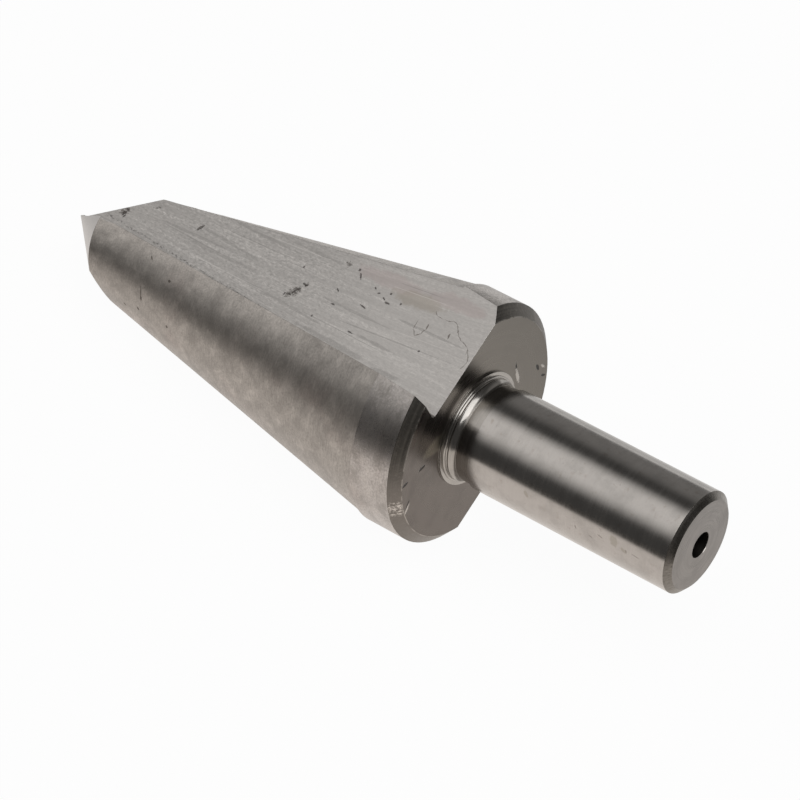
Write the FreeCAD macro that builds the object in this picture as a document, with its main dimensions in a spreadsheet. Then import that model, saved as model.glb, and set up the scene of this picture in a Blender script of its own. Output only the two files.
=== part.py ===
import FreeCAD, Part
import math
import os
import Sketcher

# Cone drill bit: one solid of tool steel. The tool's axis is Z of the body, with the chisel
# edge at zero and the shank end on top. Cutting edge 1 looks towards -Y. Sizes in mm, degrees.

DIMS = [
    # turned blank
    ("cutter_dia", 22.5, "largest diameter, over the band"),
    ("cutter_len", 44.8, "chisel edge to the back face"),
    ("band_len", 4.8, "cylindrical band behind the cone"),
    ("cone_half_angle", 10.23, "side of the cone to the axis"),
    ("rim_bevel_in", 1.0, "rim bevel, across the back face"),
    ("rim_bevel_len", 0.85, "rim bevel, along the band"),
    ("collar_dia", 10.6, "low collar round the neck"),
    ("collar_height", 0.2, "collar above the back face"),
    ("neck_dia", 9.0, "neck between the collar and the shank"),
    ("neck_len", 2.6, "back face to the ground shank"),
    ("neck_round", 0.4, "fillet at the foot of the neck"),
    ("shank_dia", 9.4, "ground shank"),
    ("overall_len", 67.95, "chisel edge to the shank end"),
    ("end_bevel_in", 0.6, "shank bevel, across the end face"),
    ("end_bevel_len", 0.5, "shank bevel, along the shank"),
    ("hole_dia", 2.4, "centre hole in the shank end"),
    ("hole_depth", 6.0, "centre hole, full diameter"),
    ("hole_point_angle", 118, "drilled bottom of the centre hole"),
    ("front_stock", 1.0, "blank ahead of the chisel edge, ground away"),
    # ground point
    ("chisel_len", 1.39, "straight chisel edge"),
    ("chisel_turn", -120.3, "direction of chisel edge end 1, from X"),
    ("flank_half_angle", 42.66, "point flank to the axis"),
    ("heel_x", 0.379, "corner of the heel facet beside the chisel edge"),
    ("heel_y", 0.594, "the same corner across"),
    ("heel_z", 0.694, "the same corner above the chisel edge"),
    ("heel_turn", -34.75, "heel facet, plan angle"),
    ("heel_lean", -47.76, "heel facet, slope"),
    ("heel_roll", -59.23, "heel facet, roll"),
    ("heel_wedge", 142.0, "heel facet to its wall"),
    # lands
    ("grind_stock", 0.3, "left on the turned cone, ground off with the lands"),
    ("land_step", 0.1, "middle of the ground lands below the band"),
    ("land_relief", 0.075, "shift of the ground cone towards its cutting edge"),
    ("relief_side", -115, "direction of that shift, from X"),
    ("relief_middle", -25, "middle of the relieved half, from X"),
    # straight flute
    ("flute_x", 1.714, "inner corner of the flute at the back face"),
    ("flute_y", -7.876, "the same corner across"),
    ("flute_turn", 172.95, "flute floor, plan angle"),
    ("flute_lean", -3.755, "flute floor, lean along the cut"),
    ("flute_roll", -8.349, "flute floor, web taper"),
    ("flute_wedge", 86.05, "cutting face to the floor"),
    ("flute_round", 0.3, "round in the inner corner"),
    ("flute_count", 2, "flutes and lands round the axis"),
    # lying on its lower flute
    ("rest_turn", -85.756, "plan angle of the lying tool"),
    ("rest_lean", 27.892, "slope of the axis as it lies"),
    ("rest_roll", -80.986, "turn about its own axis as it lies"),
]

doc = FreeCAD.newDocument("cone_drill")
sheet = doc.addObject("Spreadsheet::Sheet", "Dims")
for row, (word, value, note) in enumerate(DIMS, start=1):
    sheet.set(f"A{row}", note)
    sheet.set(f"B{row}", str(value))
    sheet.setAlias(f"B{row}", word)
doc.recompute()

body = doc.addObject("PartDesign::Body", "ConeDrill")
body.Label = "cone_drill"
doc.recompute()
origin = {part.Role: part for part in body.Origin.OriginFeatures}


def sketch_on(plane, name, where):
    """Sketch on one of the body's origin planes, shifted and turned by an expression."""
    sketch = body.newObject("Sketcher::SketchObject", name)
    sketch.AttachmentSupport = [(origin[plane], "")]
    sketch.MapMode = "FlatFace"
    if where:
        sketch.setExpression("AttachmentOffset", where)
    doc.recompute()
    return sketch


def fix(sketch, line, end, name, x, y):
    """Ties a line's end to its two coordinates, each an expression of the sheet."""
    for axis, kind, place in (("x", "DistanceX", x), ("y", "DistanceY", y)):
        if place == "0":
            sketch.addConstraint(
                Sketcher.Constraint("PointOnObject", line, end, -2 if axis == "x" else -1))
            continue
        size = sketch.evalExpression(place)
        where = sketch.addConstraint(Sketcher.Constraint(kind, -1, 1, line, end, size))
        sketch.renameConstraint(where, f"{name}_{axis}")
        sketch.setExpression(f"Constraints.{name}_{axis}", place)


def outline(sketch, corners, fillet=None):
    """Closed outline of straight lines; fillet = (corner before it, radius, centre) is an arc."""
    points = [FreeCAD.Vector(sketch.evalExpression(x), sketch.evalExpression(y), 0)
              for name, x, y in corners]
    lines = []
    for i, (name, x, y) in enumerate(corners):
        start, finish = points[i], points[(i + 1) % len(points)]
        if fillet and name == fillet[0]:
            radius = sketch.evalExpression(fillet[1])
            centre = FreeCAD.Vector(*[sketch.evalExpression(c) for c in fillet[2]], 0)
            turns = [math.atan2(p.y - centre.y, p.x - centre.x) for p in (start, finish)]
            leftward = (turns[1] - turns[0]) % (2 * math.pi) < math.pi
            first, last = turns if leftward else reversed(turns)
            circle = Part.Circle(centre, FreeCAD.Vector(0, 0, 1), radius)
            edge = sketch.addGeometry(Part.ArcOfCircle(circle, first, last), False)
            ends = (1, 2) if leftward else (2, 1)
            size = sketch.addConstraint(Sketcher.Constraint("Radius", edge, radius))
            sketch.renameConstraint(size, "fillet")
            sketch.setExpression("Constraints.fillet", fillet[1])
        else:
            edge = sketch.addGeometry(Part.LineSegment(start, finish), False)
            ends = (1, 2)
        lines.append((edge, ends))
    for i, (edge, ends) in enumerate(lines):
        after, after_ends = lines[(i + 1) % len(lines)]
        sketch.addConstraint(
            Sketcher.Constraint("Coincident", edge, ends[1], after, after_ends[0]))
        fix(sketch, edge, ends[0], corners[i][0], corners[i][1], corners[i][2])
    doc.recompute()


def feature(kind, name, sketch, **settings):
    """One solid feature of the body, checked to change the solid that it starts from."""
    before = body.Shape.Volume if body.Tip else 0.0
    made = body.newObject(kind, name)
    made.Profile = sketch
    for prop, value in settings.items():
        if isinstance(value, str) and prop != "Type":
            made.setExpression(prop, value)
        else:
            setattr(made, prop, value)
    sketch.Visibility = False
    doc.recompute()
    if abs(made.Shape.Volume - before) < 1e-3:
        raise RuntimeError(f"{name} changes nothing")
    return made


# Turned blank: cone, band, bevelled rim, collar, neck and shank in one half section.
CONE_BASE = "(Dims.cutter_len - Dims.band_len)"
NECK_FOOT = "(Dims.cutter_len + Dims.collar_height)"
blank = sketch_on("XZ_Plane", "BlankSection", None)
outline(blank, [
    ("front", "0", "-Dims.front_stock"),
    ("nose", "Dims.cutter_dia / 2 + Dims.grind_stock"
     f" - ({CONE_BASE} + Dims.front_stock) * tan(Dims.cone_half_angle)", "-Dims.front_stock"),
    ("cone_base", "Dims.cutter_dia / 2",
     f"{CONE_BASE} - Dims.grind_stock / tan(Dims.cone_half_angle)"),
    ("band_end", "Dims.cutter_dia / 2", "Dims.cutter_len - Dims.rim_bevel_len"),
    ("rim", "Dims.cutter_dia / 2 - Dims.rim_bevel_in", "Dims.cutter_len"),
    ("collar_foot", "Dims.collar_dia / 2", "Dims.cutter_len"),
    ("collar_top", "Dims.collar_dia / 2", NECK_FOOT),
    ("fillet_foot", "Dims.neck_dia / 2 + Dims.neck_round", NECK_FOOT),
    ("fillet_top", "Dims.neck_dia / 2", f"{NECK_FOOT} + Dims.neck_round"),
    ("neck_end", "Dims.neck_dia / 2", "Dims.cutter_len + Dims.neck_len"),
    ("shank_start", "Dims.shank_dia / 2", "Dims.cutter_len + Dims.neck_len"),
    ("shank_edge", "Dims.shank_dia / 2", "Dims.overall_len - Dims.end_bevel_len"),
    ("end_edge", "Dims.shank_dia / 2 - Dims.end_bevel_in", "Dims.overall_len"),
    ("end_centre", "0", "Dims.overall_len"),
], fillet=("fillet_foot", "Dims.neck_round",
           ("Dims.neck_dia / 2 + Dims.neck_round", f"{NECK_FOOT} + Dims.neck_round")))
feature("PartDesign::Revolution", "Blank", blank,
        ReferenceAxis=(blank, ["V_Axis"]), Angle=360.0)

# Point flank of land 1: half a cone about a parallel axis through its end of the chisel edge.
ABOUT_Z = "rotation(vector(0; 1; 0); {})"
flank = sketch_on("XZ_Plane", "FlankSection",
                  "placement(vector(Dims.chisel_len / 2 * cos(Dims.chisel_turn); 0; "
                  "-Dims.chisel_len / 2 * sin(Dims.chisel_turn)); "
                  + ABOUT_Z.format("Dims.chisel_turn") + ")")
FLANK_RISE = "Dims.cutter_dia / 2 / tan(Dims.flank_half_angle)"
outline(flank, [
    ("apex", "0", "0"),
    ("far", "Dims.cutter_dia / 2", FLANK_RISE),
    ("low", "Dims.cutter_dia / 2", "-2 * Dims.front_stock"),
    ("foot", "0", "-2 * Dims.front_stock"),
])
flank_cut = feature("PartDesign::Groove", "PointFlank", flank,
                    ReferenceAxis=(flank, ["V_Axis"]), Angle=180.0, Midplane=True)

# Between the two ends the flanks meet in the straight chisel edge, like a ridge roof.
roof = sketch_on("XZ_Plane", "RoofSection",
                 "placement(vector(0; 0; 0); " + ABOUT_Z.format("Dims.chisel_turn + 90") + ")")
outline(roof, [
    ("ridge", "0", "0"),
    ("right", "Dims.cutter_dia / 2", FLANK_RISE),
    ("right_low", "Dims.cutter_dia / 2", "-2 * Dims.front_stock"),
    ("left_low", "-Dims.cutter_dia / 2", "-2 * Dims.front_stock"),
    ("left", "-Dims.cutter_dia / 2", FLANK_RISE),
])
feature("PartDesign::Pocket", "ChiselRoof", roof, Midplane=True, Length="Dims.chisel_len")


def wedge(name, word, corner_z, fillet):
    """Straight cut with a floor along local X and a second face at the wedge angle to it."""
    sketch = sketch_on("XY_Plane", f"{name}Section",
                       f"placement(vector(Dims.{word}_x; Dims.{word}_y; {corner_z}); "
                       f"rotation(Dims.{word}_turn; Dims.{word}_lean; Dims.{word}_roll))")
    reach = "Dims.cutter_dia"
    tall = ("high", f"{reach} / tan(Dims.{word}_wedge)", reach)
    sides = [("floor_end", reach, "0"), ("far_high", reach, reach), tall]
    if fillet:
        back = f"{fillet} / tan(Dims.{word}_wedge / 2)"
        outline(sketch, sides + [
            ("wall_foot", f"{back} * cos(Dims.{word}_wedge)", f"{back} * sin(Dims.{word}_wedge)"),
            ("floor_start", back, "0")],
            fillet=("wall_foot", fillet, (back, fillet)))
    else:
        outline(sketch, sides + [("corner", "0", "0")])
    return feature("PartDesign::Pocket", name, sketch, Midplane=True,
                   Length="2.4 * Dims.cutter_len")


# Heel of land 1, ground back behind the point flank, with its wall beside the other lip.
heel_cut = wedge("HeelFacet", "heel", "Dims.heel_z", None)

# Straight flute 1, from the point out through the back face; its web thickens backwards.
flute_cut = wedge("Flute", "flute", "Dims.cutter_len", "Dims.flute_round")



def around(name, originals):
    """Repeats one side's cuts about the tool's axis, checked to remove more."""
    before = body.Shape.Volume
    pattern = body.newObject("PartDesign::PolarPattern", name)
    pattern.Originals = originals
    pattern.Axis = (origin["Z_Axis"], [""])
    pattern.Angle = 360.0
    pattern.setExpression("Occurrences", "Dims.flute_count")
    body.Tip = pattern
    doc.recompute()
    if not pattern.Shape.Volume < before:
        raise RuntimeError(f"{name} cuts nothing")


around("Flutes", [flank_cut, heel_cut, flute_cut])

# Land 1 is ground about an axis shifted towards its cutting edge, which leaves the relief.
relief = sketch_on("XZ_Plane", "ReliefSection",
                   "placement(vector(Dims.land_relief * cos(Dims.relief_side); 0; "
                   "-Dims.land_relief * sin(Dims.relief_side)); "
                   + ABOUT_Z.format("Dims.relief_middle") + ")")
outline(relief, [
    ("base", "Dims.cutter_dia / 2 - Dims.land_step", CONE_BASE),
    ("out", "Dims.cutter_dia", CONE_BASE),
    ("out_low", "Dims.cutter_dia", "-2 * Dims.front_stock"),
    ("nose", "Dims.cutter_dia / 2 - Dims.land_step"
     f" - ({CONE_BASE} + 2 * Dims.front_stock) * tan(Dims.cone_half_angle)",
     "-2 * Dims.front_stock"),
])
relief_cut = feature("PartDesign::Groove", "LandRelief", relief,
                     ReferenceAxis=(relief, ["V_Axis"]), Angle=180.0, Midplane=True)
around("Lands", [relief_cut])

# Centre hole in the shank end with a drilled bottom.
hole = sketch_on("XZ_Plane", "HoleSection", None)
outline(hole, [
    ("tip", "0", "Dims.overall_len - Dims.hole_depth"
     " - Dims.hole_dia / 2 / tan(Dims.hole_point_angle / 2)"),
    ("wall", "Dims.hole_dia / 2", "Dims.overall_len - Dims.hole_depth"),
    ("mouth", "Dims.hole_dia / 2", "Dims.overall_len + Dims.front_stock"),
    ("above", "0", "Dims.overall_len + Dims.front_stock"),
])
feature("PartDesign::Groove", "CentreHole", hole,
        ReferenceAxis=(hole, ["V_Axis"]), Angle=360.0)

# It lies on its lower flute: turned to that pose, then set down on the ground about the origin.
turn = FreeCAD.Rotation(sheet.rest_turn, sheet.rest_lean, sheet.rest_roll)
body.Placement = FreeCAD.Placement(FreeCAD.Vector(0, 0, 0), turn)
doc.recompute()
box = body.Shape.optimalBoundingBox(False)
body.Placement = FreeCAD.Placement(
    FreeCAD.Vector(-(box.XMin + box.XMax) / 2, -(box.YMin + box.YMax) / 2, -box.ZMin), turn)
doc.recompute()

for item in doc.Objects:
    if "Invalid" in item.State or "Error" in item.State:
        raise RuntimeError(f"{item.Name}: {item.State}")
shape = body.Shape
if shape.isNull() or not shape.isValid() or len(shape.Solids) != 1:
    raise RuntimeError("the body is not one valid solid")

os.makedirs("parts", exist_ok=True)
shape.exportStep(f"parts/{body.Label}.step")
print(body.Label, round(shape.Volume, 2), [round(v, 3) for v in (
    shape.BoundBox.XLength, shape.BoundBox.YLength, shape.BoundBox.ZLength)])
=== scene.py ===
import math

import bpy
from mathutils import Euler, Matrix, Vector


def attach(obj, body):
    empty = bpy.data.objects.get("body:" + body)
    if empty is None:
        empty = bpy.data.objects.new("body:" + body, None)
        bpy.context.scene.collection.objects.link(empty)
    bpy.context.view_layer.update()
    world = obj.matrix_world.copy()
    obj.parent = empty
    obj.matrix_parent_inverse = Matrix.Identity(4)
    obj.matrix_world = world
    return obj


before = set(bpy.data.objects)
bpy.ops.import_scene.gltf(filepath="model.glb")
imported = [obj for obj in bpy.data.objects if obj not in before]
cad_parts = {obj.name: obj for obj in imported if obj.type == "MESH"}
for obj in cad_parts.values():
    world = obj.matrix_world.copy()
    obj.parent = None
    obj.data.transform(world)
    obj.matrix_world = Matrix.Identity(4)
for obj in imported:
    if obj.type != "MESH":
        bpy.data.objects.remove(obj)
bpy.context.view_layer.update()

MM = 0.001

# The tool's own frame inside the row frame: Z runs from the chisel edge to the shank end.
TOOL_TURN = Euler([math.radians(a) for a in (-80.986, 27.892, -85.756)], "XYZ")
TOOL_ORIGIN = Vector((-33.8835, 0.0, 3.9379)) * MM
TOOL = Matrix.LocRotScale(TOOL_ORIGIN, TOOL_TURN, None)
# The upper flute's floor: X from its inner corner across the floor, Y outward, Z to the shank.
FLUTE_TURN = Euler([math.radians(a) for a in (-8.349, -3.755, 172.95)], "XYZ")
FLUTE_CORNER = Vector((1.714, -7.876, 44.8)) * MM
FLUTE_IN_TOOL = Matrix.LocRotScale(FLUTE_CORNER, FLUTE_TURN, None)
FLUTE = TOOL @ FLUTE_IN_TOOL
# Heights along the tool's axis and radii about it, in millimetres.
CONE_BASE, BACK_FACE, SHANK_START = 40.0, 44.8, 47.4
RIM_R, SHANK_R, HOLE_R = 10.25, 4.7, 1.2

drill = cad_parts["cone_drill"]


class Nodes:
    """Short calls for the nodes that the finishes and the room share."""

    def __init__(self, tree):
        self.tree = tree
        tree.nodes.clear()

    def add(self, kind, **props):
        node = self.tree.nodes.new(kind)
        for key, value in props.items():
            setattr(node, key, value)
        return node

    def set(self, node, socket, value):
        target = node.inputs[socket]
        if isinstance(value, bpy.types.NodeSocket):
            self.tree.links.new(value, target)
        else:
            target.default_value = value

    def math(self, operation, a, b=0.0):
        node = self.add("ShaderNodeMath", operation=operation)
        self.set(node, 0, a)
        self.set(node, 1, b)
        return node.outputs[0]

    def vector(self, operation, a, b=(0.0, 0.0, 0.0)):
        node = self.add("ShaderNodeVectorMath", operation=operation)
        self.set(node, 0, a)
        self.set(node, 1, b)
        return node.outputs["Value" if operation in ("LENGTH", "DOT_PRODUCT") else "Vector"]

    def split(self, vector):
        node = self.add("ShaderNodeSeparateXYZ")
        self.set(node, 0, vector)
        return node.outputs

    def join(self, x, y, z=0.0):
        node = self.add("ShaderNodeCombineXYZ")
        for i, value in enumerate((x, y, z)):
            self.set(node, i, value)
        return node.outputs[0]

    def noise(self, vector, scale=1.0, detail=4.0, roughness=0.55):
        node = self.add("ShaderNodeTexNoise")
        self.set(node, "Vector", vector)
        self.set(node, "Scale", scale)
        self.set(node, "Detail", detail)
        self.set(node, "Roughness", roughness)
        return node.outputs["Fac"]

    def ramp(self, value, low, high, out_low=0.0, out_high=1.0):
        node = self.add("ShaderNodeMapRange", interpolation_type="SMOOTHSTEP")
        for socket, number in (("Value", value), ("From Min", low), ("From Max", high),
                               ("To Min", out_low), ("To Max", out_high)):
            self.set(node, socket, number)
        return node.outputs[0]

    def mix(self, factor, a, b):
        node = self.add("ShaderNodeMix", data_type="RGBA")
        for socket, value in ((0, factor), (6, a), (7, b)):
            self.set(node, socket, value if not isinstance(value, tuple) else value + (1.0,))
        return node.outputs[2]


class Finish(Nodes):
    """One material with its nodes, in the drill's own coordinates where it is steel."""

    def __init__(self, name):
        self.material = bpy.data.materials.new(name)
        self.material.use_nodes = True
        super().__init__(self.material.node_tree)
        self.out = self.add("ShaderNodeOutputMaterial")

    def local(self, matrix):
        """Object coordinates in another frame, in millimetres."""
        place = self.add("ShaderNodeMapping", vector_type="TEXTURE")
        self.set(place, "Vector", self.add("ShaderNodeTexCoord").outputs["Object"])
        place.inputs["Location"].default_value = matrix.to_translation()
        place.inputs["Rotation"].default_value = matrix.to_euler("XYZ")
        place.inputs["Scale"].default_value = (MM, MM, MM)
        return place.outputs[0]

    def round_axis(self):
        """Angle in radians from +X, radius and height about the tool's axis."""
        x, y, z = self.split(self.local(TOOL))
        return self.math("ARCTAN2", y, x), self.vector("LENGTH", self.join(x, y)), z

    def girth(self, angle, radius, z):
        """The tool's skin unrolled at a radius: girth from +X and height, in millimetres."""
        return self.join(self.math("MULTIPLY", angle, radius), z)

    def stain(self, colour, mask, strength, stained):
        """The colour, changed to the stained one where the mask is 1, at this strength."""
        return self.mix(self.math("MULTIPLY", mask, strength), colour, stained)

    def oval(self, plane, spot):
        """Distance from one mark (x, y, half length, half width, turn): 1 on its outline."""
        x, y, long, wide, turn = spot
        place = self.add("ShaderNodeMapping", vector_type="TEXTURE")
        self.set(place, "Vector", plane)
        place.inputs["Location"].default_value = (x, y, 0.0)
        place.inputs["Rotation"].default_value = (0.0, 0.0, math.radians(turn))
        place.inputs["Scale"].default_value = (long, wide, 1.0)
        return self.vector("LENGTH", place.outputs[0])

    def marks(self, plane, spots, ragged=0.6, grain=6.0):
        """1 inside any of the marks, 0 outside, with broken outlines."""
        nearest = self.oval(plane, spots[0])
        for spot in spots[1:]:
            nearest = self.math("MINIMUM", nearest, self.oval(plane, spot))
        edge = self.math("MULTIPLY", self.noise(plane, grain, 3.0), 2.0 * ragged)
        return self.ramp(self.math("ADD", nearest, edge), 1.25 + ragged, 0.75 + ragged)

    def steel(self, colour, roughness, height, depth_mm=0.002, edge_mm=0.05):
        """Ends the material as steel, its edges broken by edge_mm, its relief depth_mm deep."""
        shader = self.add("ShaderNodeBsdfPrincipled")
        self.set(shader, "Base Color", colour)
        shader.inputs["Metallic"].default_value = 1.0
        self.set(shader, "Roughness", roughness)
        edge = self.add("ShaderNodeBevel", samples=4)
        edge.inputs["Radius"].default_value = edge_mm * MM
        relief = self.add("ShaderNodeBump")
        self.set(relief, "Height", height)
        self.set(relief, "Normal", edge.outputs[0])
        relief.inputs["Distance"].default_value = depth_mm * MM
        self.set(shader, "Normal", relief.outputs[0])
        self.set(self.out, "Surface", shader.outputs[0])
        return self.material


def tint(colour, share):
    """The colour made darker or brighter."""
    return tuple(share * c for c in colour)


# Base colours of the ground steel: the cone, the band and the flutes.
GROUND, BAND_STEEL, FLUTE_STEEL = (0.43, 0.405, 0.38), (0.57, 0.54, 0.525), (0.52, 0.505, 0.49)

# Every mark is an oval: two coordinates, half length, half width in millimetres, turn in degrees.
# Spots of the cone, by girth at a radius of LAND_R and by height.
LAND_R = 10.0
LAND_SPOTS = [(-6.54, 12.06, 0.24, 0.17, 20), (-13.2, 15.14, 0.19, 0.16, 0),
              (-9.3, 12.3, 1.30, 0.06, 8), (-8.67, 12.4, 0.34, 0.12, 8),
              (-7.17, 16.0, 0.20, 0.14, 0), (-5.23, 10.16, 0.22, 0.16, 40),
              (-14.8, 12.2, 0.30, 0.08, 30)]


def lands():
    """Cone and band: ground round the axis, the cone a little duller than the band."""
    s = Finish("ground_lands")
    angle, _, z = s.round_axis()
    along = s.girth(angle, LAND_R, z)
    rings = s.noise(s.join(s.math("MULTIPLY", angle, 12.0), s.math("MULTIPLY", z, 7.0)),
                    detail=5.0, roughness=0.65)
    grain = s.noise(along, 5.0, 4.0, 0.7)
    cloud = s.noise(along, 0.30, 4.0)
    warm = s.noise(s.join(s.math("MULTIPLY", angle, LAND_R), z, 5.0), 0.16, 3.0)
    band = s.ramp(z, CONE_BASE - 0.05, CONE_BASE + 0.05)
    colour = s.mix(band, GROUND, BAND_STEEL)
    colour = s.mix(s.ramp(cloud, 0.35, 0.65, 0.0, 0.4), colour, tint(GROUND, 0.7))
    colour = s.mix(s.ramp(warm, 0.5, 0.75, 0.0, 0.45), colour, (0.42, 0.355, 0.33))
    across = s.split(s.local(FLUTE))[0]
    # Painted highlight: the land is lighter along the upper flute floor's far edge, from 9.2 mm
    # across the floor outwards.
    colour = s.mix(s.ramp(across, 9.2, 10.0, 0.0, 0.6), colour, tint(GROUND, 1.6))
    # Painted highlight: the land is lighter by the cutting edge and on the flute's side of it,
    # fading in over 1.5 mm behind the edge and out towards the band (heights 26 to 36).
    painted_edge_highlight = s.math("MULTIPLY", s.ramp(across, -1.5, 0.4, 0.0, 0.6), s.ramp(z, 36.0, 26.0))
    colour = s.mix(painted_edge_highlight, colour, tint(GROUND, 1.5))
    colour = s.mix(s.ramp(grain, 0.36, 0.66, 0.0, 0.5), colour, tint(GROUND, 0.55))
    colour = s.mix(s.ramp(rings, 0.35, 0.62, 0.28, 0.0), colour, tint(GROUND, 1.5))
    blotch = s.noise(s.join(s.math("MULTIPLY", angle, 8.0), z, 9.0), 0.75, 4.0, 0.6)
    colour = s.mix(s.ramp(blotch, 0.48, 0.66, 0.0, 0.55), colour, tint(GROUND, 0.66))
    colour = s.mix(s.ramp(blotch, 0.46, 0.30, 0.0, 0.40), colour, tint(GROUND, 1.5))
    colour = s.stain(colour, s.marks(along, LAND_SPOTS, 0.3, 4.0), 0.75, (0.07, 0.06, 0.05))
    dull = s.math("SUBTRACT", s.ramp(grain, 0.2, 0.8, 0.33, 0.46),
                  s.math("MULTIPLY", band, 0.09))
    relief = s.math("ADD", s.math("MULTIPLY", rings, 0.5), grain)
    return s.steel(colour, dull, relief, 0.006)


# Marks of the upper flute's floor, by its X and Z: dark stains, faint smears lengthwise, small
# pits, hairline cracks in short pieces, and scratches that look dark or bright.
STAINS = [(2.3, -41.2, 0.55, 0.32, 48), (4.05, -38.3, 0.36, 0.10, 64),
          (3.65, -20.0, 0.62, 0.36, 45), (3.1, -20.4, 0.34, 0.26, 60),
          (8.1, -17.0, 0.34, 0.24, 96), (4.65, -19.35, 0.22, 0.15, 30)]
SMEARS = [(3.1, -9.4, 2.2, 0.13, 88), (1.3, -13.5, 4.5, 0.26, 89), (0.2, -5.5, 4.5, 0.24, 90),
          (1.2, -6.8, 1.5, 0.30, 84), (3.6, -32.7, 4.0, 0.14, 86), (3.2, -28.5, 4.5, 0.16, 87),
          (4.5, -29.0, 4.2, 0.13, 91), (6.6, -26.0, 4.0, 0.15, 88), (7.6, -20.5, 3.0, 0.14, 86),
          (4.6, -13.5, 4.0, 0.12, 87), (6.2, -5.6, 3.6, 0.12, 86), (2.2, -20.0, 4.5, 0.13, 90)]
PITS = [(4.4, -32.9, 0.40, 0.14, 28), (2.2, -41.1, 0.26, 0.17, 48),
        (8.07, -15.65, 0.13, 0.12, 140), (2.6, -41.0, 0.16, 0.10, 80),
        (1.9, -40.9, 0.18, 0.08, 20), (7.65, -15.2, 0.30, 0.09, 140),
        (3.7, -20.0, 0.45, 0.10, 24), (3.2, -20.3, 0.20, 0.08, 100), (4.0, -19.8, 0.16, 0.10, 70),
        (3.0, -20.8, 0.14, 0.07, 10), (4.6, -19.3, 0.14, 0.07, 40),
        (7.35, -13.1, 0.12, 0.07, 117), (7.1, -12.5, 0.13, 0.06, 60),
        (6.9, -11.7, 0.18, 0.06, 111), (6.7, -11.15, 0.25, 0.09, 88),
        (7.56, -11.4, 0.10, 0.10, 0), (7.2, -9.9, 0.09, 0.10, 0),
        (4.4, -5.4, 0.09, 0.10, 0), (5.9, -20.8, 0.12, 0.08, 30),
        (5.6, -16.3, 0.20, 0.06, 117), (4.3, -15.8, 0.20, 0.06, 88),
        (5.4, -13.0, 0.34, 0.06, 98), (2.9, -12.5, 0.26, 0.06, 91),
        (2.5, -16.9, 0.09, 0.08, 0), (4.6, -19.6, 0.20, 0.08, 102)]
CRACKS = [(8.02, -6.2, 0.28, 0.03, 124), (7.85, -5.6, 0.40, 0.03, 96),
          (7.98, -4.75, 0.55, 0.03, 71), (8.05, -4.0, 0.30, 0.035, 112),
          (7.60, -3.4, 0.53, 0.035, 133), (7.10, -2.7, 0.38, 0.045, 113),
          (6.80, -1.9, 0.53, 0.04, 110), (6.40, -1.2, 0.35, 0.04, 135),
          (5.80, -0.8, 0.45, 0.04, 159), (5.10, -0.75, 0.35, 0.035, 17),
          (6.30, -1.3, 0.28, 0.03, 161), (6.83, -3.8, 0.30, 0.08, 169),
          (6.25, -7.3, 0.50, 0.03, 172), (5.57, -6.95, 0.35, 0.045, 123),
          (5.62, -6.5, 0.32, 0.04, 41), (6.06, -6.25, 0.23, 0.04, 11),
          (6.55, -6.2, 0.28, 0.045, 179)]
GROOVES = [(9.15, -8.9, 2.7, 0.035, 82), (4.1, -8.0, 6.5, 0.06, 83),
           (2.6, -13.0, 5.0, 0.04, 88), (5.7, -27.0, 5.0, 0.035, 86),
           (3.2, -33.0, 4.0, 0.045, 89)]
RIDGES = [(8.7, -8.6, 3.2, 0.035, 82), (5.2, -6.5, 3.5, 0.035, 82),
          (7.0, -24.0, 4.5, 0.035, 84), (2.1, -27.0, 5.0, 0.03, 88)]
# Distance of the painted shade line from the inner corner, and how far the cracks sway, in
# millimetres.
CORNER_SHADE_X, CRACK_SWAY = 0.70, 0.5


def flute_marks_and_shade(s, colour, relief, plane, grit, speck):
    """Colour and relief of the upper flute's floor with the marks that the photo shows there."""
    x, z = s.split(plane)[:2]
    blush = s.marks(plane, [(8.6, -12.0, 3.6, 0.75, 84), (9.6, -5.0, 3.2, 0.7, 84)], 0.6, 0.9)
    colour = s.stain(colour, blush, 0.55, (0.50, 0.44, 0.43))
    brown = s.marks(plane, [(8.2, -8.6, 2.6, 0.7, 82)], 0.6, 1.2)
    colour = s.stain(colour, brown, 0.55, (0.40, 0.36, 0.31))
    # Painted shade: a dark broken line beside the inner corner, about 0.7 mm from it, standing in
    # for the cutting wall's shade on the floor; stronger towards the point.
    corner = s.math("ADD", s.math("ADD", x, s.math("MULTIPLY", z, 0.018)),
                    s.math("MULTIPLY", s.noise(plane, 1.6, 4.0), 0.35))
    corner_shade = s.math("MULTIPLY",
                  s.ramp(s.math("ABSOLUTE", s.math("SUBTRACT", corner, CORNER_SHADE_X)), 0.17, 0.03),
                  s.ramp(z, -18.0, -26.0, 0.3, 0.8))
    colour = s.stain(colour, corner_shade, s.ramp(grit, 0.46, 0.60), tint(FLUTE_STEEL, 0.30))
    colour = s.stain(colour, s.marks(plane, SMEARS, 0.9, 0.8),
                     s.ramp(speck, 0.3, 0.6, 0.25, 0.65), tint(FLUTE_STEEL, 0.66))
    colour = s.stain(colour, s.marks(plane, GROOVES, 0.5, 1.2), 0.4, tint(FLUTE_STEEL, 0.5))
    colour = s.stain(colour, s.marks(plane, RIDGES, 0.5, 1.2), 0.4, tint(FLUTE_STEEL, 1.45))
    colour = s.stain(colour, s.marks(plane, STAINS, 1.5, 5.0),
                     s.ramp(grit, 0.38, 0.58, 0.15, 0.8), (0.11, 0.10, 0.09))
    pits = s.marks(plane, PITS, 0.7, 7.0)
    colour = s.stain(colour, pits, 0.75, (0.08, 0.07, 0.065))
    sway = [s.math("MULTIPLY", s.math("SUBTRACT", s.noise(place, 1.3, 3.0), 0.5), CRACK_SWAY)
            for place in (plane, s.join(z, x))]
    cracks = s.marks(s.vector("ADD", plane, s.join(*sway)), CRACKS, 0.5, 2.5)
    colour = s.stain(colour, cracks, 0.75, (0.14, 0.12, 0.105))
    return colour, s.math("SUBTRACT", relief, s.math("MULTIPLY", pits, 8.0))


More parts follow.
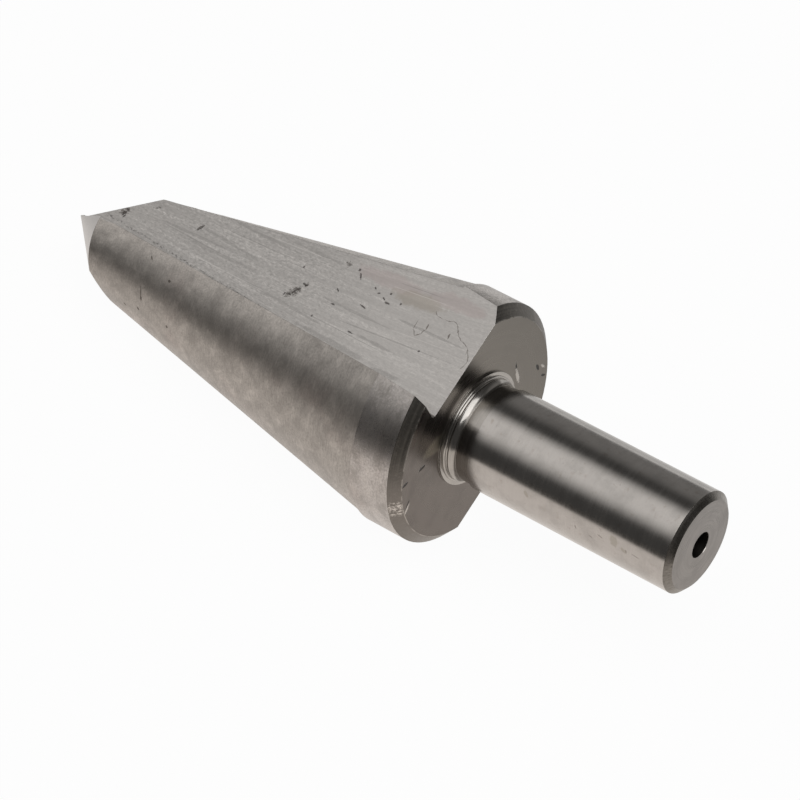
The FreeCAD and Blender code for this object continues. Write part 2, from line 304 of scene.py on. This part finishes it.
def flute_faces(name, marked):
    """Flute floor and cutting face: surface-ground lengthwise, the streaks fanning a little."""
    s = Finish(name)
    base = FLUTE_STEEL
    x, y, z = s.split(s.local(FLUTE))
    plane = s.join(x, z)
    fan = s.math("MULTIPLY", s.math("ADD", x, y), s.math(
        "SUBTRACT", 0.75, s.math("MULTIPLY", z, 0.015)))
    fine = s.noise(s.join(s.math("MULTIPLY", fan, 14.0), s.math("MULTIPLY", z, 0.25)),
                   detail=5.0, roughness=0.65)
    broad = s.noise(s.join(s.math("MULTIPLY", fan, 2.0), s.math("MULTIPLY", z, 0.06), 3.0),
                    detail=3.0)
    lines = s.noise(s.join(s.math("MULTIPLY", fan, 17.0), s.math("MULTIPLY", z, 0.16), 8.0),
                    detail=4.0, roughness=0.65)
    speck = s.noise(plane, 7.0, 4.0, 0.65)
    grit = s.noise(s.join(s.math("MULTIPLY", x, 1.8), s.math("MULTIPLY", z, 0.8), 4.0),
                   3.2, 4.0, 0.8)
    colour = s.mix(s.ramp(fine, 0.32, 0.68), tint(base, 0.82), tint(base, 1.12))
    rear = s.noise(s.join(s.math("MULTIPLY", fan, 30.0), s.math("MULTIPLY", z, 0.9), 5.0),
                   detail=3.0, roughness=0.7)
    colour = s.mix(s.math("MULTIPLY", s.ramp(rear, 0.50, 0.68), s.ramp(z, -24.0, -6.0, 0.20, 0.6)),
                   colour, tint(base, 0.62))
    colour = s.mix(s.ramp(grit, 0.51, 0.64, 0.0, 0.75), colour, tint(base, 0.62))
    colour = s.mix(s.ramp(grit, 0.47, 0.36, 0.0, 0.65), colour, tint(base, 1.38))
    colour = s.mix(s.ramp(broad, 0.38, 0.62, 0.0, 0.5), colour, tint(base, 0.88))
    colour = s.mix(s.ramp(lines, 0.58, 0.70, 0.0, 0.35), colour, tint(base, 0.74))
    colour = s.mix(s.ramp(lines, 0.38, 0.28, 0.0, 0.4), colour, tint(base, 1.18))
    colour = s.mix(s.ramp(speck, 0.60, 0.72, 0.0, 0.3), colour, tint(base, 0.7))
    relief = s.math("ADD", fine, s.math("MULTIPLY", lines, 1.5))
    colour = s.mix(s.ramp(z, -22.0, -8.0, 0.0, 0.4), colour, tint(base, 1.28))
    if marked:
        colour, relief = flute_marks_and_shade(s, colour, relief, plane, grit, speck)
    return s.steel(colour, s.ramp(broad, 0.3, 0.7, 0.34, 0.42), relief, 0.002)


def point_faces():
    """Flanks of the point: ground bright, the lines running out from the axis."""
    s = Finish("ground_point")
    angle, _, z = s.round_axis()
    rays = s.noise(s.join(s.math("MULTIPLY", angle, 9.0), s.math("MULTIPLY", z, 3.0)))
    colour = s.mix(s.ramp(rays, 0.3, 0.7), (0.60, 0.60, 0.60), (0.70, 0.70, 0.70))
    return s.steel(colour, s.ramp(rays, 0.3, 0.7, 0.28, 0.38), rays)


class Turned(Finish):
    """A face or cylinder turned on a lathe, with rings round the axis and uneven colour."""

    def __init__(self, name, base, dull, per_mm=6.0, uneven=0.15, seed=0.0):
        super().__init__(name)
        self.angle, self.radius, self.z = self.round_axis()
        self.rings = self.noise(self.join(
            self.math("MULTIPLY", self.radius, per_mm), self.math("MULTIPLY", self.z, per_mm),
            self.math("MULTIPLY", self.angle, 0.5)), detail=4.0)
        cloud = self.noise(self.vector("ADD", self.local(TOOL), (seed, seed, seed)), 0.55, 4.0)
        ringed = self.mix(self.ramp(self.rings, 0.3, 0.7),
                          tint(base, 1.0 - uneven), tint(base, 1.0 + uneven))
        self.colour = self.mix(self.ramp(cloud, 0.4, 0.7, 0.0, 0.5), ringed, tint(base, 0.72))
        self.dull = self.ramp(self.rings, 0.25, 0.75, *dull)

    def plain(self, depth_mm=0.002):
        """The finish as it is, with no marks."""
        return self.steel(self.colour, self.dull, self.rings, depth_mm)


# Dents and bright burrs of the back face, by X and Y of the tool.
BACK_DENTS = [(-6.25, 1.0, 0.55, 0.10, 60), (-7.5, 4.6, 0.45, 0.16, 75),
              (-7.3, 6.3, 0.35, 0.12, 110), (5.56, -5.13, 0.42, 0.14, 151),
              (7.57, -6.31, 0.38, 0.14, 151), (8.75, -4.1, 0.45, 0.07, 18)]
BACK_BURRS = [(-5.75, 2.0, 0.85, 0.20, 68), (9.12, -3.75, 0.55, 0.14, 18),
              (-7.9, 5.4, 0.4, 0.12, 95)]


def back_face():
    """Turned behind the band: dark, greener on the far side, with a painted reflection patch, a
    few dents and burrs.
    """
    s = Turned("turned_back_face", (0.160, 0.142, 0.129), (0.24, 0.32), 2.0, 0.02)
    x, y = s.split(s.local(TOOL))[:2]
    plane = s.join(x, y)
    colour = s.mix(s.ramp(x, 3.0, -5.0, 0.0, 0.75), s.colour, (0.195, 0.180, 0.157))
    # Painted reflection: a lighter olive patch on the back face beside the flute's inner corner.
    painted_reflection_patch = s.marks(plane, [(3.0, -4.7, 1.9, 0.8, 147)], 0.3, 0.8)
    colour = s.stain(colour, painted_reflection_patch, 0.6, (0.37, 0.35, 0.29))
    dents = s.marks(plane, BACK_DENTS, 0.5, 5.0)
    burrs = s.marks(plane, BACK_BURRS, 0.9, 4.0)
    colour = s.stain(colour, dents, 0.95, (0.015, 0.013, 0.012))
    colour = s.stain(colour, burrs, 0.7, (0.60, 0.57, 0.53))
    relief = s.math("ADD", s.math("MULTIPLY", s.rings, 0.004), s.math("SUBTRACT", burrs, dents))
    return s.steel(colour, s.dull, relief, 0.03)


def rim_bevel():
    """The bevel behind the band: dark scale, rubbed bright in one patch and along its rim."""
    s = Turned("dark_bevel", (0.15, 0.14, 0.125), (0.34, 0.5), 9.0, 0.25, seed=3.0)
    along = s.girth(s.angle, LAND_R, s.z)
    rough = s.noise(along, 4.0, 5.0, 0.7)
    patch = s.marks(along, [(-4.55, 44.35, 0.85, 0.5, 0)], 0.8, 3.0)
    rim = s.math("MULTIPLY", s.ramp(s.radius, RIM_R + 0.09, RIM_R + 0.03),
                 s.ramp(s.noise(along, 1.2), 0.40, 0.55))
    colour = s.mix(s.ramp(rough, 0.5, 0.7, 0.0, 0.5), s.colour, (0.27, 0.25, 0.23))
    colour = s.stain(colour, s.ramp(s.angle, -1.05, -0.55), 0.55, (0.27, 0.245, 0.225))
    colour = s.stain(colour, patch, s.ramp(rough, 0.45, 0.6), (0.66, 0.62, 0.58))
    colour = s.stain(colour, rim, 0.6, (0.55, 0.52, 0.48))
    relief = s.math("ADD", rough, s.math("MULTIPLY", patch, rough))
    return s.steel(colour, s.dull, relief, 0.02)


# Stains and nicks of the shank, by its girth and by height.
SHANK_FILM = [(-3.70, 62.45, 0.55, 0.36, 25), (-3.25, 63.5, 0.35, 0.16, 60),
              (-3.75, 53.5, 0.30, 0.18, 40)]
SHANK_NICKS = [(-3.08, 58.65, 0.20, 0.06, 20), (-3.45, 61.1, 0.26, 0.06, 75),
               (-2.90, 60.2, 0.20, 0.07, 80), (-3.30, 63.75, 0.16, 0.07, 20),
               (-3.30, 64.7, 0.42, 0.04, 84)]


def shank():
    """Cylindrically ground, handled: faint rings, a few brown stains, no marking."""
    s = Turned("ground_shank", (0.475, 0.455, 0.435), (0.15, 0.21), 5.0, 0.03, seed=7.0)
    along = s.girth(s.angle, SHANK_R, s.z)
    brown = s.noise(along, 1.4, 5.0, 0.65)
    fleck = s.noise(along, 5.0, 3.0, 0.6)
    colour = s.mix(s.ramp(brown, 0.55, 0.75, 0.0, 0.5), s.colour, (0.33, 0.285, 0.25))
    colour = s.mix(s.ramp(fleck, 0.68, 0.76, 0.0, 0.7), colour, (0.12, 0.10, 0.09))
    colour = s.stain(colour, s.marks(along, SHANK_FILM, 0.5, 2.5), 0.5, (0.30, 0.28, 0.235))
    colour = s.stain(colour, s.marks(along, SHANK_NICKS, 0.5, 5.0), 0.6, (0.20, 0.18, 0.16))
    return s.steel(colour, s.dull, s.rings, 0.0004, 0.03)


def end_face():
    """The shank's end: turned in fine rings, with a glint at the mouth of the centre hole."""
    s = Turned("turned_end", (0.250, 0.236, 0.224), (0.26, 0.36), 5.0, 0.16, seed=1.0)
    x, y = s.split(s.local(TOOL))[:2]
    glint = s.marks(s.join(x, y), [(0.10, 1.29, 0.26, 0.09, -5)], 0.2)
    colour = s.mix(glint, s.colour, (0.95, 0.93, 0.9))
    return s.steel(colour, s.dull, s.rings, 0.005)


def end_bevel():
    """The shank's bevel: rough turned, part dark and part rubbed bright."""
    s = Turned("turned_end_bevel", (0.25, 0.235, 0.215), (0.26, 0.40), 2.0, 0.08)
    rough = s.noise(s.join(s.math("MULTIPLY", s.angle, 9.0), s.math("MULTIPLY", s.z, 1.5)),
                    2.2, 5.0, 0.7)
    colour = s.mix(s.ramp(rough, 0.45, 0.65, 0.0, 0.6), s.colour, (0.13, 0.12, 0.105))
    colour = s.mix(s.ramp(rough, 0.42, 0.30, 0.0, 0.6), colour, (0.45, 0.43, 0.40))
    return s.steel(colour, s.dull, rough, 0.01)


FINISHES = {
    "land": lands(),
    "floor": flute_faces("flute_floor", True),
    "cutting": flute_faces("cutting_face", False),
    "point": point_faces(),
    "heel": flute_faces("heel_facets", False),
    "bevel": rim_bevel(),
    "back": back_face(),
    "neck": Turned("turned_neck", (0.42, 0.40, 0.375), (0.16, 0.22), 6.0, 0.06).plain(0.0006),
    "shank": shank(),
    "end": end_face(),
    "end_bevel": end_bevel(),
    # The centre hole's bore is near-black: painted shade of the deep hole.
    "bore": Turned("bore_painted_shade", (0.05, 0.045, 0.04), (0.5, 0.6)).plain(),
}
drill.data.materials.clear()
for finish in FINISHES.values():
    drill.data.materials.append(finish)
ORDER = list(FINISHES)
INTO_TOOL = TOOL.inverted()
INTO_FLUTES = [(side @ FLUTE_IN_TOOL).inverted() @ INTO_TOOL
               for side in (Matrix.Identity(4), Matrix.Rotation(math.pi, 4, "Z"))]
# Normals along the axis: of faces square to it, and of the heel facets.
SQUARE_TO_AXIS, HEEL_NORMAL_Z = 0.95, -0.577


def region(centre, normal):
    """Which ground or turned surface a facet of the drill belongs to."""
    c = (INTO_TOOL @ centre) / MM
    n = INTO_TOOL.to_3x3() @ normal
    radius = math.hypot(c.x, c.y)
    if c.z > SHANK_START - 0.05:
        if n.z > SQUARE_TO_AXIS:
            return "end"
        if radius < HOLE_R + 0.1:
            return "bore"
        return "end_bevel" if n.z > 0.3 else "shank"
    if c.z > BACK_FACE + 0.02:
        return "neck"
    if n.z > SQUARE_TO_AXIS:
        return "back"
    if radius > RIM_R - 0.05 and n.z > 0.4:
        return "bevel"
    for into_flute in INTO_FLUTES:
        m = into_flute.to_3x3() @ normal
        if m.y > 0.999:
            return "floor"
        if m.x > 0.98 and (into_flute @ centre).y > 0:
            return "cutting"
    if n.z < -0.3:
        return "heel" if abs(n.z - HEEL_NORMAL_Z) < 0.004 else "point"
    return "land"


for face in drill.data.polygons:
    face.material_index = ORDER.index(region(face.center, face.normal))


# The turned fillet of the neck, with a fine groove between it and the collar's lip: radius and
# height round the tool's axis, in millimetres.
NECK_R, RING_BORE = 4.5, 4.35
FILLET_R, FILLET_TOP, FILLET_TURN, FILLET_RISE = 0.85, 46.03, 46.0, 0.005
LIP_R, LIP_CENTRE, LIP_FROM, LIP_TURN = 0.14, (4.82, 45.02), 130.0, -135.0
GROOVE_FOOT = (4.69, 45.25)
RING_STEPS, ARC_STEPS = 160, 10


def arc(centre, radius, start, turn):
    """Points of an arc, its start and turn in degrees."""
    turns = [math.radians(start + turn * i / ARC_STEPS) for i in range(ARC_STEPS + 1)]
    return [(centre[0] + radius * math.cos(a), centre[1] + radius * math.sin(a)) for a in turns]


def neck_profile():
    """Closed section of the ring: down the fillet, over the lip and back up inside the neck."""
    fillet_centre = (NECK_R + FILLET_RISE + FILLET_R, FILLET_TOP)
    points = arc(fillet_centre, FILLET_R, 180.0, FILLET_TURN)
    points += [GROOVE_FOOT] + arc(LIP_CENTRE, LIP_R, LIP_FROM, LIP_TURN)
    return points + [(RING_BORE, points[-1][1]), (RING_BORE, FILLET_TOP)]


def ring_mesh(name, profile):
    """Closed ring: the profile turned about the tool's axis."""
    turns = [2 * math.pi * i / RING_STEPS for i in range(RING_STEPS)]
    verts = [TOOL @ (Vector((r * math.cos(t), r * math.sin(t), z)) * MM)
             for t in turns for r, z in profile]
    count = len(profile)
    faces = []
    for i in range(RING_STEPS):
        here, after = i * count, (i + 1) % RING_STEPS * count
        for j in range(count):
            k = (j + 1) % count
            faces.append((here + j, here + k, after + k, after + j))
    mesh = bpy.data.meshes.new(name)
    mesh.from_pydata(verts, [], faces)
    for face in mesh.polygons:
        face.use_smooth = True
    mesh.set_sharp_from_angle(angle=math.radians(35))
    return mesh


neck_fillet = bpy.data.objects.new("neck_fillet", ring_mesh("neck_fillet", neck_profile()))
neck_fillet.data.materials.append(FINISHES["neck"])
bpy.context.scene.collection.objects.link(neck_fillet)
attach(neck_fillet, "root")

# Floor: white paper that keeps the shadow. The steel reflects a pool of light on it, which is
# warm in front of the drill, longer and whiter behind it, and weaker in the drill's own lee.
# Metres from the pool's centre; the floor behind it glows a little beyond the pool too.
FLOOR_HALF = 3.0
PAPER_WHITE, PAPER_GLOW = 0.9, 0.96
POOL_CENTRE, POOL_INNER, POOL_OUTER = (0.015, -0.015, 0.0), 0.045, 0.092
POOL_BRIGHT, POOL_DIM = 0.9, 0.08
POOL_FRONT, POOL_BACK, BACK_DEPTH = (1.0, 0.935, 0.88), (1.0, 0.985, 0.97), 0.05
POOL_STRETCH = 0.52
FAR_GLOW = 0.24
LEE, LEE_INNER, LEE_OUTER, LEE_SHARE = (-0.007, 0.053, 0.0), 0.010, 0.035, 0.70
floor_mesh = bpy.data.meshes.new("floor")
floor_mesh.from_pydata([(x * FLOOR_HALF, y * FLOOR_HALF, 0.0)
                        for x, y in ((-1, -1), (1, -1), (1, 1), (-1, 1))], [], [(0, 1, 2, 3)])
floor = bpy.data.objects.new("floor", floor_mesh)
bpy.context.scene.collection.objects.link(floor)
paper = Finish("paper_floor")
path = paper.add("ShaderNodeLightPath").outputs
seen = paper.math("MAXIMUM", path["Is Camera Ray"], path["Is Transmission Ray"])
px, py = paper.split(paper.vector(
    "SUBTRACT", paper.add("ShaderNodeTexCoord").outputs["Object"], POOL_CENTRE))[:2]
behind = paper.ramp(py, 0.0, BACK_DEPTH)
away = paper.vector("LENGTH", paper.join(px, paper.math(
    "MINIMUM", py, paper.math("MULTIPLY", py, POOL_STRETCH))))
from_lee = paper.vector("LENGTH", paper.vector("SUBTRACT", paper.join(px, py), LEE))
pool = paper.math("MULTIPLY", paper.ramp(away, POOL_INNER, POOL_OUTER, POOL_BRIGHT, POOL_DIM),
                  paper.ramp(from_lee, LEE_INNER, LEE_OUTER, LEE_SHARE, 1.0))
pool = paper.math("MAXIMUM", pool, paper.math("MULTIPLY", behind, FAR_GLOW))
diffuse = paper.add("ShaderNodeBsdfDiffuse")
paper.set(diffuse, "Color", (PAPER_WHITE, PAPER_WHITE, PAPER_WHITE, 1))
glow = paper.add("ShaderNodeEmission")
paper.set(glow, "Color", paper.mix(
    seen, paper.mix(behind, POOL_FRONT, POOL_BACK), (1.0, 1.0, 1.0)))
paper.set(glow, "Strength", paper.math("MAXIMUM", seen, pool))
blend = paper.add("ShaderNodeMixShader")
paper.set(blend, 0, paper.math("MAXIMUM", paper.math("MULTIPLY", seen, PAPER_GLOW),
                               path["Is Glossy Ray"]))
paper.set(blend, 1, diffuse.outputs[0])
paper.set(blend, 2, glow.outputs[0])
paper.set(paper.out, "Surface", blend.outputs[0])
floor_mesh.materials.append(paper.material)


def towards(azimuth, elevation):
    """Unit direction; azimuth runs from +X towards +Y."""
    a, e = math.radians(azimuth), math.radians(elevation)
    return Vector((math.cos(a) * math.cos(e), math.sin(a) * math.cos(e), math.sin(e)))


# The studio round it: a dim room with one large soft window at the drill's front end and a
# paler wall beside it. The window's width and height count from its middle, as tangents.
WINDOW, WINDOW_LIGHT, WINDOW_TINT = towards(-163, 40), 0.85, (1.0, 0.975, 0.95, 1)
WINDOW_RIGHT = WINDOW.cross(Vector((0, 0, 1))).normalized()
WINDOW_UP = WINDOW_RIGHT.cross(WINDOW)
SIDE_WALL, ROOM_LIGHT, WALL_LIGHT = towards(105, 12), 0.07, 0.24
world = bpy.data.worlds.new("studio")
bpy.context.scene.world = world
world.use_nodes = True
room = Nodes(world.node_tree)
ray = room.add("ShaderNodeTexCoord").outputs["Generated"]
ahead = room.math("MAXIMUM", room.vector("DOT_PRODUCT", ray, WINDOW), 0.05)
across = room.math("DIVIDE", room.vector("DOT_PRODUCT", ray, WINDOW_RIGHT), ahead)
above = room.math("DIVIDE", room.vector("DOT_PRODUCT", ray, WINDOW_UP), ahead)
wide = room.math("MULTIPLY", room.ramp(across, 0.67, 0.10), room.ramp(across, -0.84, -0.22))
tall = room.ramp(room.math("ABSOLUTE", room.math("SUBTRACT", above, 0.2)), 1.0, 0.4)
pane = room.math("MULTIPLY", wide, tall)
wall = room.ramp(room.vector("DOT_PRODUCT", ray, SIDE_WALL), 0.75, 0.98, ROOM_LIGHT, WALL_LIGHT)
sky = room.add("ShaderNodeBackground")
room.set(sky, "Color", WINDOW_TINT)
room.set(sky, "Strength", room.math("ADD", wall, room.math("MULTIPLY", pane, WINDOW_LIGHT)))
room.set(room.add("ShaderNodeOutputWorld"), "Surface", sky.outputs[0])

# Key light: one large soft box high over the shank.
KEY_SIDE, KEY_DISTANCE, KEY_SIZE, KEY_WATTS = towards(-10, 70), 0.8, 0.75, 3.4
key_data = bpy.data.lights.new("key_box", "AREA")
key_data.shape, key_data.size, key_data.energy = "SQUARE", KEY_SIZE, KEY_WATTS
key_box = bpy.data.objects.new("key_box", key_data)
bpy.context.scene.collection.objects.link(key_box)
key_box.location = KEY_SIDE * KEY_DISTANCE
key_box.rotation_mode = "QUATERNION"
key_box.rotation_quaternion = KEY_SIDE.to_track_quat("Z", "Y")

# Camera: placed from the photograph's perspective.
camera_data = bpy.data.cameras.new("camera")
camera_data.lens, camera_data.sensor_width = 168.783, 36.0
camera_data.clip_start, camera_data.clip_end = 0.01, 20.0
camera = bpy.data.objects.new("camera", camera_data)
bpy.context.scene.collection.objects.link(camera)
camera.location = Vector((115.246, -156.721, 267.745)) * MM
camera.rotation_euler = Euler([math.radians(a) for a in (36.5316, -1.3568, 37.587)], "XYZ")
bpy.context.scene.camera = camera
bpy.context.scene.view_settings.view_transform = "Standard"
